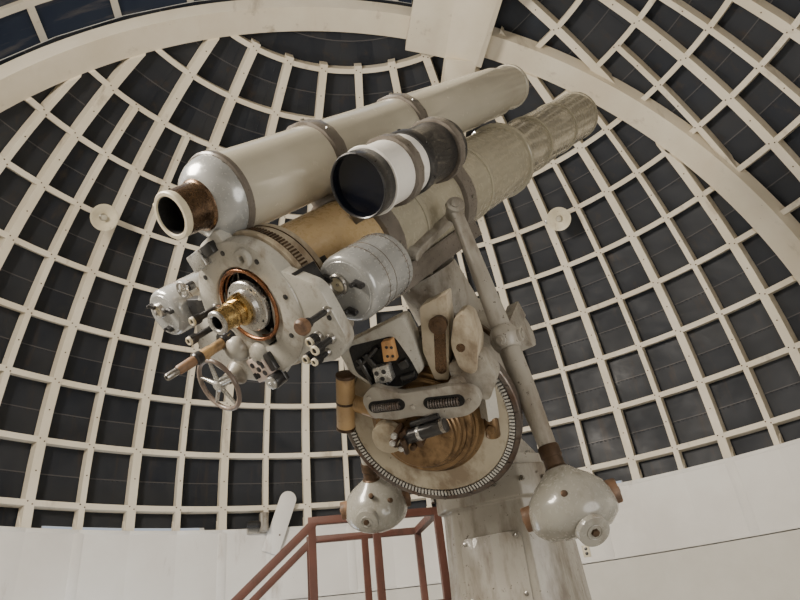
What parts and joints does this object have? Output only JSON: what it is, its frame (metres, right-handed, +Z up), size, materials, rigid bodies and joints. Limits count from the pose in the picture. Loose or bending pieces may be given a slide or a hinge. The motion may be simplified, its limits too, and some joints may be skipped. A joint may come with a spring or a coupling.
{
  "type": "observatory dome",
  "caption": "Rotating ribbed dome on a round wall, with a parting two-leaf shutter over its slit, a refracting telescope on an equatorial pier mounting and a railed observing stair",
  "frame": {"origin": "middle of the building at the underside of its floor slab", "axes": "+Z is up; the slit opens towards -Y; the shutter leaves part along X"},
  "size_m": [10, 10, 8.1689],
  "materials": {
    "masonry": null,
    "door_steel": "dull red-brown oil paint",
    "rail_steel": "rolled bright along its running face",
    "skirt_paint": "off-white brushed paint, stained",
    "frame_paint": "aged cream paint",
    "sheet": "dark grey-blue rolled sheet, dull",
    "track_steel": "dark grey paint",
    "casting": "grey enamel over castings",
    "dark_casting": "dark brown enamel, worn",
    "tube_enamel": "grey-cream enamel",
    "white_enamel": "white enamel",
    "wheel_metal": "turned and polished"
  },
  "bodies": {
    "building": {"floor_slab": "masonry", "drum_wall_1": "masonry", "drum_wall_2": "masonry", "drum_wall_3": "masonry", "drum_wall_4": "masonry", "drum_door": "door_steel", "rail_ring": "rail_steel", "pier": "white_enamel", "polar_base": "casting", "stair_flight": "door_steel", "stair_railing": "door_steel"},
    "dome": {"skirt_1": "skirt_paint", "skirt_2": "skirt_paint", "skirt_3": "skirt_paint", "lattice_left": "frame_paint", "lattice_right": "frame_paint", "lattice_rear": "frame_paint", "arch_left": "frame_paint", "arch_right": "frame_paint", "slit_header": "frame_paint", "skin_left_front": "sheet", "skin_left_rear": "sheet", "skin_right_front": "sheet", "skin_right_rear": "sheet", "skin_rear": "sheet", "shutter_rail_bottom": "track_steel", "shutter_rail_top": "track_steel", "lamp_left": "white_enamel", "lamp_right": "white_enamel", "drive_unit": "casting", "guide_board": "white_enamel"},
    "leaf_left": {"shutter_left": "sheet"},
    "leaf_right": {"shutter_right": "sheet"},
    "polar": {"polar_head": "casting", "polar_gear": "dark_casting", "polar_works": "casting", "lever_near": "tube_enamel", "lever_far": "tube_enamel"},
    "tubes": {"main_tube": "tube_enamel", "breech": "white_enamel", "guide_tube": "tube_enamel", "finder_tube": "white_enamel", "drum_near": "tube_enamel", "drum_far": "tube_enamel", "saddle": "dark_casting"},
    "wheel": {"handwheel": "wheel_metal"}
  },
  "joints": [
    {"name": "dome_turn", "type": "hinge", "parent": "building", "child": "dome", "pos_m": [0, 0, 2.2], "axis": [0, 0, 1], "continuous": true},
    {"name": "leaf_left_slide", "type": "slide", "parent": "dome", "child": "leaf_left", "axis": [-1, 0, 0], "range_m": [-0.48, 0.82]},
    {"name": "leaf_right_slide", "type": "slide", "parent": "dome", "child": "leaf_right", "axis": [1, 0, 0], "range_m": [-0.48, 0.82]},
    {"name": "polar_turn", "type": "hinge", "parent": "building", "child": "polar", "pos_m": [0.355, 0.201, 2.918], "axis": [-0.5849, 0.4613, 0.6672], "range_deg": [-15, 60]},
    {"name": "declination_turn", "type": "hinge", "parent": "polar", "child": "tubes", "pos_m": [0.355, 0.201, 2.918], "axis": [0.456, -0.4933, 0.7408], "range_deg": [-45, 30]},
    {"name": "handwheel_turn", "type": "hinge", "parent": "tubes", "child": "wheel", "pos_m": [0.71958, -0.89539, 2.62227], "axis": [-0.3573, 0.6608, 0.66], "continuous": true}
  ],
  "couplings": [
    {"joint": "leaf_right_slide", "follows": "leaf_left_slide", "ratio": 1}
  ]
}
